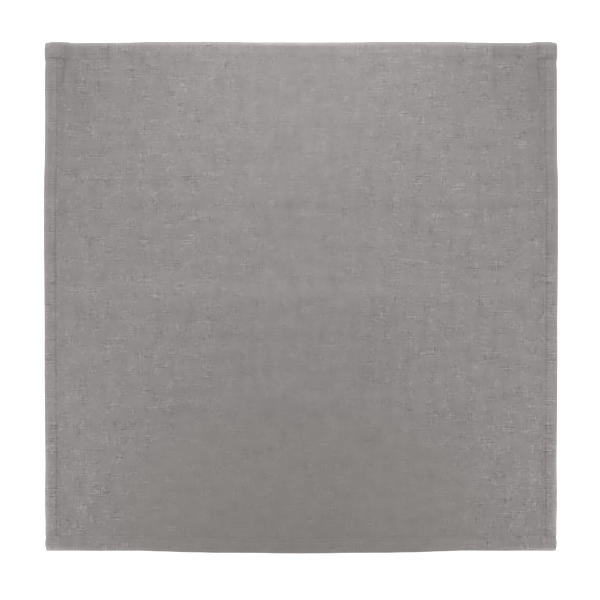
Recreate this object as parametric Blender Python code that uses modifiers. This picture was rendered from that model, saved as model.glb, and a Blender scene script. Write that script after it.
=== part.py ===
"""A square linen table napkin, laid out flat, with a double-turned hem on its four sides.

Metres, +Z up. The cloth lies on the surface at Z = 0 and its wrong side, where the hems
are turned in, faces up. +Y runs to the end whose hem lies over the two side hems.
The origin is at the middle of the underside.
"""

import bpy
import numpy as np

MM = 0.001

# Overall size, over the widest and the longest place
CLOTH_WIDTH = 510 * MM
CLOTH_LENGTH = 508 * MM

# Thickness of the lone cloth, and what one turned hem adds to it
FIELD_THICKNESS = 1.0 * MM
HEM_RISE = 0.8 * MM

# How deep the row of stitches draws a hem down, as a share of the hem's rise
STITCH_SINK = 0.35

# Rounding of the rolled outer rim, and the least turn between two faces, in degrees, that is
# rounded: the rim's two edges turn more than this, and the hem's own slopes less
RIM_ROUNDING = 0.38 * MM
RIM_SEGMENTS = 2
RIM_TURN = 65

# The field's slow swells: their height as a share of the field's thickness, their length along
# X and along Y, and how far the first crest lies from the middle, as a share of a swell
SWELL = 0.12
SWELL_LENGTH_X = 170 * MM
SWELL_LENGTH_Y = 210 * MM
SWELL_START_X = 0.11
SWELL_START_Y = 0.06

# Grid lines across the plain middle of the cloth, each way, how much closer they lie
# near the hems, and how often one direction's lines are fitted to the other's
FIELD_LINES = 16
LINE_CROWDING = 0.6
FITTING_ROUNDS = 3

# How the outline wanders. place: from the middle, towards +Y or outwards to the sides.
# drawn_in: how far the edge lies inside the overall size there. Both in millimetres.
SIDE_EDGE = [
    # place, drawn_in
    (253.0, 1.8),
    (251.0, 1.4),
    (245.5, 1.1),
    (237.5, 1.2),
    (232.0, 1.5),
    (221.5, 1.0),
    (204.5, 1.0),
    (177.5, 1.1),
    (139.5, 0.8),
    (115.5, 0.1),
    (95.5, 0.0),
    (42.5, 0.0),
    (37.0, 0.2),
    (20.0, 0.3),
    (-30.0, 0.6),
    (-62.0, 0.6),
    (-102.0, 0.7),
    (-125.0, 1.0),
    (-165.0, 1.3),
    (-190.0, 1.0),
    (-205.0, 0.9),
    (-225.0, 1.4),
    (-234.5, 1.4),
    (-240.5, 2.0),
    (-243.5, 1.5),
    (-247.5, 1.6),
    (-250.0, 1.9),
    (-251.5, 2.3),
]
TOP_EDGE = [
    # place, drawn_in
    (253.5, 1.8),
    (252.0, 1.3),
    (250.0, 1.1),
    (247.0, 0.6),
    (243.5, 0.5),
    (237.0, 0.5),
    (231.5, 0.7),
    (225.5, 1.4),
    (218.5, 1.4),
    (199.5, 1.2),
    (174.5, 1.0),
    (148.5, 0.3),
    (100.0, 0.1),
    (75.0, 0.0),
    (50.0, 0.7),
    (20.0, 0.6),
    (0.0, 0.7),
]
BOTTOM_EDGE = [
    # place, drawn_in
    (252.0, 2.9),
    (250.5, 2.6),
    (243.5, 2.7),
    (221.5, 2.7),
    (204.5, 2.6),
    (159.5, 2.7),
    (139.5, 2.0),
    (110.0, 1.1),
    (80.0, 0.6),
    (45.0, 0.5),
    (20.0, 0.1),
    (0.0, 0.0),
]

# Where each hem is sewn and where its inner fold lies, in millimetres in from the edge
SIDE_HEM = [
    # place, stitches_in, fold_in
    (254.0, 11.0, 18.2),
    (199.0, 11.2, 17.8),
    (155.0, 11.8, 15.4),
    (116.0, 11.3, 13.9),
    (0.0, 11.2, 13.4),
    (-115.0, 11.6, 13.9),
    (-165.0, 11.8, 15.2),
    (-254.0, 11.5, 15.4),
]
TOP_HEM = [
    # place, stitches_in, fold_in
    (255.0, 11.9, 16.2),
    (220.0, 11.9, 15.4),
    (130.0, 11.6, 14.4),
    (0.0, 12.2, 14.9),
]
BOTTOM_HEM = [
    # place, stitches_in, fold_in
    (255.0, 11.9, 15.0),
    (200.0, 12.0, 14.6),
    (120.0, 11.5, 14.0),
    (0.0, 11.3, 13.9),
]

# Section of a hem, from the rim to the field. along: 0 at the rim, 1 at the stitches,
# 2 at the inner fold. rise: how much of the hem's own thickness lies there.
HEM_SECTION = [
    # along, rise
    (0.0, 0.92),
    (0.14, 1.0),
    (0.45, 0.9),
    (0.9, 0.86),
    (1.0, 0.86 - STITCH_SINK),
    (1.25, 0.84),
    (1.85, 0.8),
    (2.15, 0.0),
]

LINEN_COLOUR = (0.272, 0.257, 0.252, 1.0)
LINEN_ROUGHNESS = 0.88


def eased(table, place, column):
    """A column of a table read at each place, with a soft S between its rows."""
    rows = np.array(sorted(table))
    known = rows[:, 0] * MM
    values = rows[:, column] * MM
    step = np.clip(np.searchsorted(known, place) - 1, 0, len(known) - 2)
    share = np.clip((place - known[step]) / (known[step + 1] - known[step]), 0, 1)
    blend = share * share * (3 - 2 * share)
    return values[step] + blend * (values[step + 1] - values[step])


def hem_lines(stitches_in, fold_in):
    """Each hem line's distance in from the edge, one column for each row of HEM_SECTION."""
    along = np.array([row[0] for row in HEM_SECTION])
    to_stitches = np.minimum(along, 1)
    to_fold = np.maximum(along - 1, 0)
    return stitches_in[:, None] * to_stitches + (fold_in - stitches_in)[:, None] * to_fold


def lines_between(low_edge, high_edge, low_lines, high_lines):
    """Grid lines from one edge to the other: a hem, the field's lines, a hem."""
    low = low_edge[:, None] + low_lines
    high = high_edge[:, None] - high_lines[:, ::-1]
    even = np.linspace(0, 1, FIELD_LINES + 2)[1:-1]
    shares = even - LINE_CROWDING * np.sin(2 * np.pi * even) / (2 * np.pi)
    field = low[:, -1:] + (high[:, :1] - low[:, -1:]) * shares
    return np.concatenate([low, field, high], axis=1)


def cloth_plan():
    """The grid's X and Y, fitted to each other in turn, because the hems bend both ways."""
    half_width = CLOTH_WIDTH / 2
    half_length = CLOTH_LENGTH / 2
    count = 2 * len(HEM_SECTION) + FIELD_LINES
    plan_x = np.tile(np.linspace(-half_width, half_width, count), (count, 1))
    plan_y = np.tile(np.linspace(-half_length, half_length, count)[:, None], (1, count))
    for _ in range(FITTING_ROUNDS):
        side_place = plan_y[:, count // 2]
        side = half_width - eased(SIDE_EDGE, side_place, 1)
        side_lines = hem_lines(eased(SIDE_HEM, side_place, 1), eased(SIDE_HEM, side_place, 2))
        plan_x = lines_between(-side, side, side_lines, side_lines)
        end_place = np.abs(plan_x[count // 2])
        top = half_length - eased(TOP_EDGE, end_place, 1)
        bottom = half_length - eased(BOTTOM_EDGE, end_place, 1)
        top_lines = hem_lines(eased(TOP_HEM, end_place, 1), eased(TOP_HEM, end_place, 2))
        bottom_lines = hem_lines(
            eased(BOTTOM_HEM, end_place, 1), eased(BOTTOM_HEM, end_place, 2)
        )
        plan_y = lines_between(-bottom, top, bottom_lines, top_lines).T
    return plan_x, plan_y


def cloth_thickness(plan_x, plan_y):
    """The field with its slow swells, plus each hem's own thickness where it lies."""
    rise = np.array([row[1] for row in HEM_SECTION])
    across = np.concatenate([rise, np.zeros(FIELD_LINES), rise[::-1]])
    hems = HEM_RISE * (across[:, None] + across[None, :])
    swell_x = np.sin(2 * np.pi * (plan_x / SWELL_LENGTH_X + SWELL_START_X))
    swell_y = np.cos(2 * np.pi * (plan_y / SWELL_LENGTH_Y - SWELL_START_Y))
    return FIELD_THICKNESS * (1 + SWELL * swell_x * swell_y) + hems


def linen():
    material = bpy.data.materials.new("linen")
    material.use_nodes = True
    shader = material.node_tree.nodes["Principled BSDF"]
    shader.inputs["Base Color"].default_value = LINEN_COLOUR
    shader.inputs["Roughness"].default_value = LINEN_ROUGHNESS
    shader.inputs["Metallic"].default_value = 0.0
    return material


def napkin(collection):
    """A flat grid in the cloth's outline, thickened upwards by its own thickness map."""
    plan_x, plan_y = cloth_plan()
    thickness = cloth_thickness(plan_x, plan_y)
    thickest = float(thickness.max())
    count = plan_x.shape[0]

    bpy.ops.mesh.primitive_grid_add(x_subdivisions=count - 1, y_subdivisions=count - 1)
    cloth = bpy.context.object
    cloth.name = "napkin_cloth"
    cloth.data.name = "napkin_cloth"
    flat = np.stack([plan_x, plan_y, np.zeros_like(plan_x)], axis=-1)
    cloth.data.vertices.foreach_set("co", flat.ravel().astype(np.float32))

    shares = cloth.vertex_groups.new(name="thickness")
    for index, share in enumerate((thickness / thickest).ravel()):
        shares.add([index], float(share), "REPLACE")

    body = cloth.modifiers.new("thickness", "SOLIDIFY")
    body.thickness = thickest
    body.offset = 1.0
    body.vertex_group = shares.name

    rim = cloth.modifiers.new("rolled rim", "BEVEL")
    rim.width = RIM_ROUNDING
    rim.segments = RIM_SEGMENTS
    rim.limit_method = "ANGLE"
    rim.angle_limit = np.radians(RIM_TURN)

    cloth.data.materials.append(linen())
    cloth.data.shade_smooth()
    for owner in list(cloth.users_collection):
        owner.objects.unlink(cloth)
    collection.objects.link(cloth)
    return cloth


def main():
    for old in list(bpy.data.objects):
        bpy.data.objects.remove(old, do_unlink=True)
    collection = bpy.data.collections.new("linen_napkin")
    bpy.context.scene.collection.children.link(collection)
    napkin(collection)


main()
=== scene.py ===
"""A hemmed square linen napkin, laid out flat on a pale floor: its cloth, turned hems, thread and weave.

Run as a script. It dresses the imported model, in metres, +Z up. The cloth's wrong side, where the
hems are turned in, faces up, and the hem at +Y lies over the two side hems.
"""

import bpy
import numpy as np
from bpy.props import FloatProperty, FloatVectorProperty, IntProperty, PointerProperty
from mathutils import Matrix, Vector


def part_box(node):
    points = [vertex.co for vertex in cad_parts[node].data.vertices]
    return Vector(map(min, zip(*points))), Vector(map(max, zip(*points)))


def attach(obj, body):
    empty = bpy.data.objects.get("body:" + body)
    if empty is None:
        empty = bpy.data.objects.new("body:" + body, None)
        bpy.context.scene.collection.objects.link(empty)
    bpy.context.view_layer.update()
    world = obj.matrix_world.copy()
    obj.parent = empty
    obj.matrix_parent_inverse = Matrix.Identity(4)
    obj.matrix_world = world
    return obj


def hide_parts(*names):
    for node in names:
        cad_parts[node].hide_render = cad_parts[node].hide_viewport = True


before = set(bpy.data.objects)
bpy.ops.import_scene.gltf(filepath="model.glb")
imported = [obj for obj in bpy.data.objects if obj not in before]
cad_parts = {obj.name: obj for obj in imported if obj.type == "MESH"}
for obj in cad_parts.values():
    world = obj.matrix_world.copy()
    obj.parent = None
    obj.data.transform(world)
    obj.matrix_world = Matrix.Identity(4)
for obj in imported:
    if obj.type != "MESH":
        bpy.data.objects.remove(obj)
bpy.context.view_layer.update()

bl_info = {
    "name": "Linen Napkin",
    "version": (1, 0, 0),
    "blender": (4, 5, 0),
    "location": "View3D > Sidebar > Napkin",
    "description": "Builds a hemmed square linen napkin, laid out flat, with its thread and weave",
    "category": "Object",
}

MM = 0.001
FITTING_ROUNDS = 3

# The CAD solid that the cloth stands for, and the body it rides on
CLOTH_NODE = "napkin_cloth"
BODY = "root"

NODE_LOW, NODE_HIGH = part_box(CLOTH_NODE)
HALF_WIDTH = NODE_HIGH.x
HALF_LENGTH = NODE_HIGH.y

# How the outline wanders. place: from the middle, towards +Y or outwards to the sides.
# drawn_in: how far the edge lies inside the overall size there. Both in millimetres.
SIDE_EDGE = [
    # place, drawn_in
    (253.0, 1.8),
    (251.0, 1.4),
    (245.5, 1.1),
    (237.5, 1.2),
    (232.0, 1.5),
    (221.5, 1.0),
    (204.5, 1.0),
    (177.5, 1.1),
    (139.5, 0.8),
    (115.5, 0.1),
    (95.5, 0.0),
    (42.5, 0.0),
    (37.0, 0.2),
    (20.0, 0.3),
    (-30.0, 0.6),
    (-62.0, 0.6),
    (-102.0, 0.7),
    (-125.0, 1.0),
    (-165.0, 1.3),
    (-190.0, 1.0),
    (-205.0, 0.9),
    (-225.0, 1.4),
    (-234.5, 1.4),
    (-240.5, 2.0),
    (-243.5, 1.5),
    (-247.5, 1.6),
    (-250.0, 1.9),
    (-251.5, 2.3),
]
TOP_EDGE = [
    # place, drawn_in
    (253.5, 1.8),
    (252.0, 1.3),
    (250.0, 1.1),
    (247.0, 0.6),
    (243.5, 0.5),
    (237.0, 0.5),
    (231.5, 0.7),
    (225.5, 1.4),
    (218.5, 1.4),
    (199.5, 1.2),
    (174.5, 1.0),
    (148.5, 0.3),
    (100.0, 0.1),
    (75.0, 0.0),
    (50.0, 0.7),
    (20.0, 0.6),
    (0.0, 0.7),
]
BOTTOM_EDGE = [
    # place, drawn_in
    (252.0, 2.9),
    (250.5, 2.6),
    (243.5, 2.7),
    (221.5, 2.7),
    (204.5, 2.6),
    (159.5, 2.7),
    (139.5, 2.0),
    (110.0, 1.1),
    (80.0, 0.6),
    (45.0, 0.5),
    (20.0, 0.1),
    (0.0, 0.0),
]

# Where each hem is sewn and where its inner fold lies, in from the edge, how far the fold stands
# above the cloth there, all in millimetres, how much painted shade darkens the row of stitches and
# the crease along the fold, how much painted highlight lightens the rim, and how pale the whole band
# from rim to stitches is painted
SIDE_HEM = [
    # place, stitches_in, fold_in, fold_rise, row_dark, fold_dark, rim_pale, band_pale
    (254.0, 11.0, 18.2, 0.36, 0.1, 0.6, 1.6, 0.4),
    (225.0, 11.0, 18.2, 0.34, 0.3, 0.8, 1.8, 0.35),
    (199.0, 11.2, 17.8, 0.26, 0.4, 0.2, 2.6, 0.2),
    (155.0, 11.8, 15.4, 0.20, 0.6, 0.1, 2.4, 0.2),
    (116.0, 11.3, 13.9, 0.10, 0.7, 0.0, 2.0, 0.1),
    (0.0, 11.2, 13.4, 0.05, 0.7, 0.0, 1.3, 0.0),
    (-115.0, 11.6, 13.9, 0.06, 0.6, 0.0, 0.9, 0.0),
    (-165.0, 11.8, 15.2, 0.12, 0.7, 0.1, 2.2, 0.0),
    (-230.0, 11.6, 15.3, 0.12, 0.6, 0.1, 2.6, 0.0),
    (-254.0, 11.5, 15.4, 0.12, 0.4, 0.1, 4.2, 0.3),
]
TOP_HEM = [
    # place, stitches_in, fold_in, fold_rise, row_dark, fold_dark, rim_pale, band_pale
    (255.0, 11.9, 16.2, 0.24, 0.1, 0.0, 2.4, 0.9),
    (249.5, 11.9, 16.1, 0.24, 0.1, 0.2, 2.4, 0.9),
    (245.5, 11.9, 16.0, 0.24, 0.2, 0.7, 2.4, 0.7),
    (236.0, 11.9, 16.0, 0.24, 0.2, 0.4, 3.0, 0.1),
    (220.0, 11.9, 15.4, 0.18, 0.2, 0.1, 3.0, 0.1),
    (130.0, 11.6, 14.4, 0.02, 0.0, 0.0, 2.8, 0.35),
    (60.0, 12.0, 14.7, 0.00, 0.0, 0.0, 2.8, 0.4),
    (0.0, 12.2, 14.9, 0.00, 0.0, 0.0, 4.6, 0.15),
]
BOTTOM_HEM = [
    # place, stitches_in, fold_in, fold_rise, row_dark, fold_dark, rim_pale, band_pale
    (255.0, 11.9, 15.0, 0.10, 0.1, 0.2, 4.2, 0.4),
    (243.0, 11.9, 14.9, 0.10, 0.1, 0.2, 3.6, 0.3),
    (230.0, 11.9, 14.8, 0.08, 0.1, 0.1, 2.6, 0.0),
    (200.0, 12.0, 14.6, 0.06, 0.1, 0.0, 1.5, 0.1),
    (160.0, 11.7, 14.3, 0.03, 0.0, 0.03, 1.5, 0.3),
    (120.0, 11.5, 14.0, 0.00, 0.0, 0.03, 1.1, 0.15),
    (0.0, 11.3, 13.9, 0.00, 0.0, 0.03, 1.2, 0.2),
]

# Soft puckers and puffs where the sewing and the old folds have drawn the cloth together, the
# same on the left and on the right, each with painted shade, or with a painted highlight under 0.
# from_middle: along X, from_edge: down from the +Y edge, width and length: how far it fades each
# way, all in millimetres. depth: how low it lies and how much painted shade darkens it; under 0, how
# much painted highlight lightens it.
PUCKERS = [
    # from_middle, from_edge, width, length, depth
    (234.5, 17.0, 3.8, 4.2, 0.25),
    (235.0, 8.0, 2.4, 6.0, 0.35),
    (214.0, 11.5, 16.0, 3.5, 0.3),
    (191.4, 9.0, 1.6, 7.0, 0.75),
    (195.0, 9.0, 4.5, 7.0, 0.45),
    (184.0, 12.0, 4.5, 8.0, -0.35),
    (192.0, 38.0, 6.0, 22.0, 0.12),
    (158.0, 17.0, 2.8, 4.5, 0.65),
    (176.0, 10.0, 11.0, 1.8, 0.25),
    (216.0, 50.0, 20.0, 26.0, 0.13),
    (95.0, 24.0, 14.0, 20.0, -0.16),
    (137.0, 88.0, 7.0, 9.0, -0.2),
    (193.0, 97.0, 6.0, 7.0, -0.2),
    (112.0, 236.0, 14.0, 9.0, -0.14),
    (21.0, 97.0, 14.0, 14.0, 0.14),
    (236.0, 264.0, 10.0, 12.0, 0.16),
    (0.0, 395.0, 9.0, 12.0, 0.2),
]

# Soft bands of painted highlight and painted shade straight across the cloth, standing for the
# shading of the rises and dips that folding and lying have left, the last one a broad, faint pale
# band. place: towards +Y, reach: how far each one fades, both in millimetres. pale: how much
# painted highlight it has, or painted shade under 0. side_fade: how much of it is lost by the side
# hems.
PAINTED_FOLD_BANDS = [
    # place, reach, pale, side_fade
    (90.5, 4.0, -0.25, 0.3),
    (17.0, 12.0, 0.08, 0.3),
    (7.5, 8.0, 0.3, 0.6),
    (-14.0, 9.0, -0.06, 0.5),
    (-97.0, 8.0, 0.07, 0.3),
    (-116.0, 9.0, -0.08, 0.5),
    (-202.0, 32.0, 0.09, 1.0),
]

# The old fold's ridge across the middle: its place, how far it fades to each side, and how far
# from the side hems it has its full height
RIDGE_PLACE = -2 * MM
RIDGE_REACH = 14 * MM
RIDGE_START = 60 * MM

# The laid cloth's slow waves, each length in millimetres, and how far under a hem the cloth comes
# down to the floor
WAVE_LENGTHS = (230, 170, 120, 90, 64, 47)
LANDING_REACH = 12 * MM

# The short ripples beside the hems: how far apart, how far from the fold they are full, and how
# much they slant, which sets those at the left apart from those at the right
RIPPLE_STEP = 6.5 * MM
RIPPLE_START = 2 * MM
RIPPLE_SLANT = 0.02

# How far a hem's fold paints shade on the cloth beside it, and the wider, fainter painted shade along a
# side hem
FOLD_SHADE_REACH = 1.8 * MM
SIDE_SHADE = 0.12
SIDE_SHADE_REACH = 10 * MM

# The flat cloth's grid lines over each hem, in millimetres in from its edge
HEM_LINES = (0, 4, 9, 10.3, 10.9, 11.5, 13, 15)

# Section of a turned hem, from the rolled rim to the inner fold, in millimetres.
# start: what offset is counted from. side and end: the height of the upper face on a side hem and
# on an end hem. under: the height of the lower face. rise: how much of the fold's rise is added to
# the upper face. gather: how strongly the sewn cloth ripples.
HEM_SECTION = [
    # start, offset, side, end, under, rise, gather
    ("rim", 0.00, 0.44, 0.40, 0.34, 0.0, 0.0),
    ("rim", 0.06, 0.66, 0.60, 0.20, 0.0, 0.1),
    ("rim", 0.22, 0.84, 0.77, 0.08, 0.0, 0.2),
    ("rim", 0.55, 1.01, 0.94, 0.00, 0.0, 0.3),
    ("rim", 1.10, 1.20, 1.12, 0.00, 0.0, 0.4),
    ("rim", 1.90, 1.38, 1.28, 0.30, 0.0, 0.5),
    ("rim", 3.00, 1.53, 1.40, 0.48, 0.0, 0.7),
    ("rim", 4.40, 1.62, 1.47, 0.50, 0.0, 0.8),
    ("rim", 6.20, 1.64, 1.48, 0.56, 0.0, 0.9),
    ("rim", 7.80, 1.59, 1.44, 0.66, 0.0, 1.0),
    ("stitches", -1.60, 1.48, 1.37, 0.74, 0.0, 1.0),
    ("stitches", -0.80, 1.36, 1.32, 0.76, 0.0, 1.0),
    ("stitches", -0.35, 1.12, 1.25, 0.78, 0.0, 0.9),
    ("stitches", 0.00, 0.98, 1.20, 0.80, 0.0, 0.8),
    ("stitches", 0.35, 1.06, 1.21, 0.82, 0.1, 0.8),
    ("stitches", 0.85, 1.20, 1.22, 0.84, 0.3, 0.8),
    ("fold", -1.20, 1.13, 1.15, 0.86, 0.6, 0.7),
    ("fold", -0.60, 1.08, 1.09, 0.86, 0.8, 0.6),
    ("fold", -0.25, 1.04, 1.05, 0.86, 1.0, 0.5),
    ("fold", -0.06, 1.00, 1.01, 0.88, 0.9, 0.4),
    ("fold", 0.00, 0.95, 0.96, 0.90, 0.5, 0.3),
]

# The four edges, in the order of their random draws, and their hems' tables
SIDE_EDGES = ("left", "right")
END_EDGES = ("bottom", "top")
EDGES = SIDE_EDGES + END_EDGES
HEM_TABLES = {"left": SIDE_HEM, "right": SIDE_HEM, "bottom": BOTTOM_HEM, "top": TOP_HEM}

# Under an end hem a side hem is tucked in, over a short distance, and stops short of the outline.
# The end hem climbs over it, from a little beyond its fold.
COVER_TUCK = 0.6 * MM
COVER_REACH = 2 * MM
SIDE_HEM_SHORT = 1.2 * MM
CLIMB_HEIGHT = 0.85 * MM
CLIMB_START = 1.2 * MM
CLIMB_REACH = 2.4 * MM

# How far in from the outline a hem's lines end at a corner, where its rings lie near its two ends,
# in millimetres, and how it is drawn in there: over what distance, and to what share of its height
CORNER_IN = 1 * MM
CLOSING_RINGS = (0.0, 0.12, 0.35, 0.7)
FIRST_EVEN_RING = 1.2 * MM
END_ROUNDING = 0.9 * MM
END_FULLNESS = 0.45

# The hems' small ripples: how far apart and how high each kind is, as a share of the gather height,
# how much of that height a stitch pulls down, and how deep a full pucker is
HEM_RIPPLES = ((4.5 * MM, 0.6), (11 * MM, 0.6))
STITCH_PULL = 0.35
PUCKER_DEPTH = 0.3 * MM

# The stretches in which the sewn cloth's fine ribs show: how far apart, how many, how sharply they
# begin, and how strong they are. Over 0 the ribs run along X, and under 0 along Y.
GATHER_STEP = 9 * MM
GATHER_LEVEL = 0.15
GATHER_SHARPNESS = 1.3
GATHER_STRENGTH = {"left": 1.5, "right": 1.5, "bottom": -0.5, "top": -1.0}

# How far a hem's painted rim highlight reaches in, and how fast it fades, how soft the inner edge
# of the pale band is, how far the painted shade of the row and of the crease reaches to each side,
# and how pale and how wide an end hem's two ends are painted, as painted highlight
RIM_REACH = 5.5 * MM
RIM_FADE = 1.6
BAND_SOFTNESS = 3 * MM
ROW_REACH = 0.8 * MM
CREASE_REACH = 1.2 * MM
END_PALE = 1.8
END_REACH = 6 * MM

# How far a row of stitches stops before the corner, and how much further in on a side hem, how
# far a stitch strays, how high its middle stands in the row's trough, and how deep its ends dip
ROW_SHORT = 3 * MM
SIDE_ROW_SHORT = 17 * MM
STITCH_STRAY = 0.05 * MM
STITCH_STAND = 0.1 * MM
STITCH_DIP = 0.24 * MM

# The thread: its twists in a metre, its height as a share of its width, how much thinner its ends
# are, and how many sides and rings it has
THREAD_TWISTS = 1500.0
THREAD_FLATNESS = 0.84
THREAD_TAPER = 0.75
THREAD_SIDES = 8
THREAD_RINGS = 7

# Random draws: the seed of each, the number of heights in a random line, and where the line starts,
# a metre before the middle, so that the whole cloth lies past it
WAVE_SEED = 7
RIPPLE_SEEDS = (11, 12, 13)
HEM_RIPPLE_SEED = 20
STITCH_SEED = 40
GATHER_SEED = 60
NOISE_KNOTS = 2048
NOISE_START = 1.0

# The weave's own places start a metre on too, and those of the hems lie a metre further across
# their length, and their undersides more, so that each has yarns of its own
WEAVE_START = 1.0
HEM_WEAVE_START = 2.0
UNDER_WEAVE_STEP = 0.3

# The cloth's baking map, in shares of its side: the top ends at BAKE_END, the underside has the
# strip beside it, and each of the four rims a bar above it
BAKE_START = 0.005
BAKE_END = 0.875
STRIP_START = 0.885
STRIP_END = 0.995
BAR_STEP = 0.025
BAR_HEIGHT = 0.015


class NapkinSizes(bpy.types.PropertyGroup):
    """Sizes of the cloth, its hems and its thread."""

    cloth_thickness: FloatProperty(
        name="Cloth thickness",
        description="Thickness of one layer of the cloth",
        default=0.55 * MM,
        unit="LENGTH",
    )
    hem_hold: FloatProperty(
        name="Hem hold",
        description="How far the thick hems hold the cloth beside them off the floor",
        default=0.42 * MM,
        unit="LENGTH",
    )
    hold_reach: FloatProperty(
        name="Hold reach",
        description="How far from a hem's fold the cloth comes down again",
        default=45 * MM,
        unit="LENGTH",
    )
    swell_height: FloatProperty(
        name="Swell height",
        description="How far the laid cloth lifts off the floor between its hems",
        default=0.35 * MM,
        unit="LENGTH",
    )
    field_lines: IntProperty(
        name="Field lines",
        description="Grid lines across the cloth between its hems, each way",
        default=206,
        min=20,
    )
    edge_tuck: FloatProperty(
        name="Edge tuck",
        description="How far the flat cloth ends inside the rolled rim of its hems",
        default=1.0 * MM,
        unit="LENGTH",
    )
    fold_ridge: FloatProperty(
        name="Fold ridge",
        description="Height that is left of the old fold across the middle",
        default=0.35 * MM,
        unit="LENGTH",
    )
    gather_height: FloatProperty(
        name="Gather height",
        description="Height of the small ripples that the sewing draws up",
        default=0.11 * MM,
        unit="LENGTH",
    )
    gather_reach: FloatProperty(
        name="Gather reach",
        description="How far the ripples run on into the cloth beyond a hem's fold",
        default=9.0 * MM,
        unit="LENGTH",
    )
    stitch_pitch: FloatProperty(
        name="Stitch pitch",
        description="From the start of one stitch to the start of the next",
        default=2.6 * MM,
        unit="LENGTH",
    )
    stitch_length: FloatProperty(
        name="Stitch length",
        description="Length of thread that shows between two needle holes",
        default=2.05 * MM,
        unit="LENGTH",
    )
    thread_width: FloatProperty(
        name="Thread width",
        description="Width of the sewing thread where it lies on the cloth",
        default=0.42 * MM,
        unit="LENGTH",
    )
    yarn_pitch: FloatProperty(
        name="Yarn pitch",
        description="From one yarn of the weave to the next",
        default=0.65 * MM,
        unit="LENGTH",
    )


class NapkinColours(bpy.types.PropertyGroup):
    """Colours of the linen, its thread and the floor."""

    linen: FloatVectorProperty(
        name="Linen",
        description="Main colour of the cloth",
        default=(0.2856, 0.2668, 0.2675),
        subtype="COLOR",
    )
    linen_warm: FloatVectorProperty(
        name="Warm linen",
        description="Colour of the slightly yellower patches",
        default=(0.2824, 0.2663, 0.254),
        subtype="COLOR",
    )
    thread: FloatVectorProperty(
        name="Thread",
        description="Colour of the sewing thread",
        default=(0.235, 0.222, 0.216),
        subtype="COLOR",
    )
    floor: FloatVectorProperty(
        name="Floor",
        description="Colour of the pale floor",
        default=(0.9, 0.9, 0.9),
        subtype="COLOR",
    )


def eased(table, place, column):
    """A column of a table read at each place, with a soft S between its rows, in metres."""
    rows = np.array(sorted(table))
    known = rows[:, 0] * MM
    values = rows[:, column] * MM
    step = np.clip(np.searchsorted(known, place) - 1, 0, len(known) - 2)
    share = np.clip((place - known[step]) / (known[step + 1] - known[step]), 0, 1)
    return values[step] + soft_step(share) * (values[step + 1] - values[step])


def soft_step(share):
    """The soft S from 0 to 1: three times the square less twice the cube."""
    share = np.clip(share, 0, 1)
    return share * share * (3 - 2 * share)


def soft_noise(place, step, seed):
    """Random heights from -1 to 1 at even steps along a line, joined by soft Ss."""
    knots = np.random.default_rng(seed).uniform(-1, 1, NOISE_KNOTS)
    at = (place + NOISE_START) / step
    low = np.floor(at).astype(int)
    blend = soft_step(at - low)
    return knots[low % NOISE_KNOTS] * (1 - blend) + knots[(low + 1) % NOISE_KNOTS] * blend


def side_reach(y):
    """From the middle out to the side edge: half the width, less what is drawn in there."""
    return HALF_WIDTH - eased(SIDE_EDGE, y, 1)


def top_reach(x):
    """From the middle to the +Y edge: half the length, less what is drawn in there."""
    return HALF_LENGTH - eased(TOP_EDGE, np.abs(x), 1)


def bottom_reach(x):
    """From the middle to the -Y edge: half the length, less what is drawn in there."""
    return HALF_LENGTH - eased(BOTTOM_EDGE, np.abs(x), 1)


def cloth_plan(nominal_x, nominal_y):
    """The even square of the loom, stretched so that its sides lie on the wandering outline. Each
    direction's stretch depends on the other's, so they are fitted in a few rounds."""
    x, y = nominal_x, nominal_y
    for _ in range(FITTING_ROUNDS):
        x = nominal_x * side_reach(y) / HALF_WIDTH
        end = np.where(nominal_y > 0, top_reach(x), bottom_reach(x))
        y = nominal_y * end / HALF_LENGTH
    return x, y


def hem_reach(x, y):
    """How far a point lies inside the nearest inner fold: over 0 in the field, under 0 on a hem."""
    side = side_reach(y) - eased(SIDE_HEM, y, 2) - np.abs(x)
    top = top_reach(x) - eased(TOP_HEM, np.abs(x), 2) - y
    bottom = bottom_reach(x) - eased(BOTTOM_HEM, np.abs(x), 2) + y
    return side, top, bottom


def cloth_lift(x, y, sizes):
    """How far the laid cloth lifts off the floor: slow crossing waves that give way near the hems
    to the hems' own hold, plus short ripples square to each hem, which fade away from its fold, and
    the old fold's ridge. Under a hem it all comes down to the floor by the rim."""
    rng = np.random.default_rng(WAVE_SEED)
    waves = np.zeros_like(x)
    for length in WAVE_LENGTHS:
        turn, phase = rng.uniform(0, 2 * np.pi, 2)
        across = x * np.cos(turn) + y * np.sin(turn)
        waves += np.sqrt(length) * np.sin(2 * np.pi * across / (length * MM) + phase)
    waves = 0.5 + 0.5 * waves / np.abs(waves).max()
    side, top, bottom = hem_reach(x, y)
    nearest = np.minimum(side, np.minimum(top, bottom))
    lift = sizes.swell_height * waves * soft_step(nearest / sizes.hold_reach)
    lift += sizes.hem_hold * (1 - soft_step(nearest / sizes.hold_reach))
    lift *= soft_step(1 + nearest / LANDING_REACH)
    hems = zip((side, top, bottom), (y + x * RIPPLE_SLANT, x, x), RIPPLE_SEEDS)
    for distance, along, seed in hems:
        ripple = 0.5 + 0.5 * soft_noise(along, RIPPLE_STEP, seed)
        fade = np.exp(-np.maximum(distance, 0) / sizes.gather_reach)
        lift += sizes.gather_height * ripple * fade * soft_step(distance / RIPPLE_START)
    ridge = np.exp(-(((y - RIDGE_PLACE) / RIDGE_REACH) ** 2))
    lift += sizes.fold_ridge * ridge * soft_step(side / RIDGE_START)
    return lift * (1 - np.clip(puckered(x, y), 0, 1))


def puckered(x, y):
    """How strongly each point lies in a pucker: a soft bell over each one, and under 0 in a puff. It
    lowers the cloth and the hems, and is also painted as shade, or as highlight in a puff.
    """
    from_edge = top_reach(x) - y
    total = np.zeros_like(x)
    for middle, down, width, length, depth in PUCKERS:
        across = (np.abs(x) / MM - middle) / width
        along = (from_edge / MM - down) / length
        total += depth * np.exp(-(across**2) - along**2)
    return total


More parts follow.
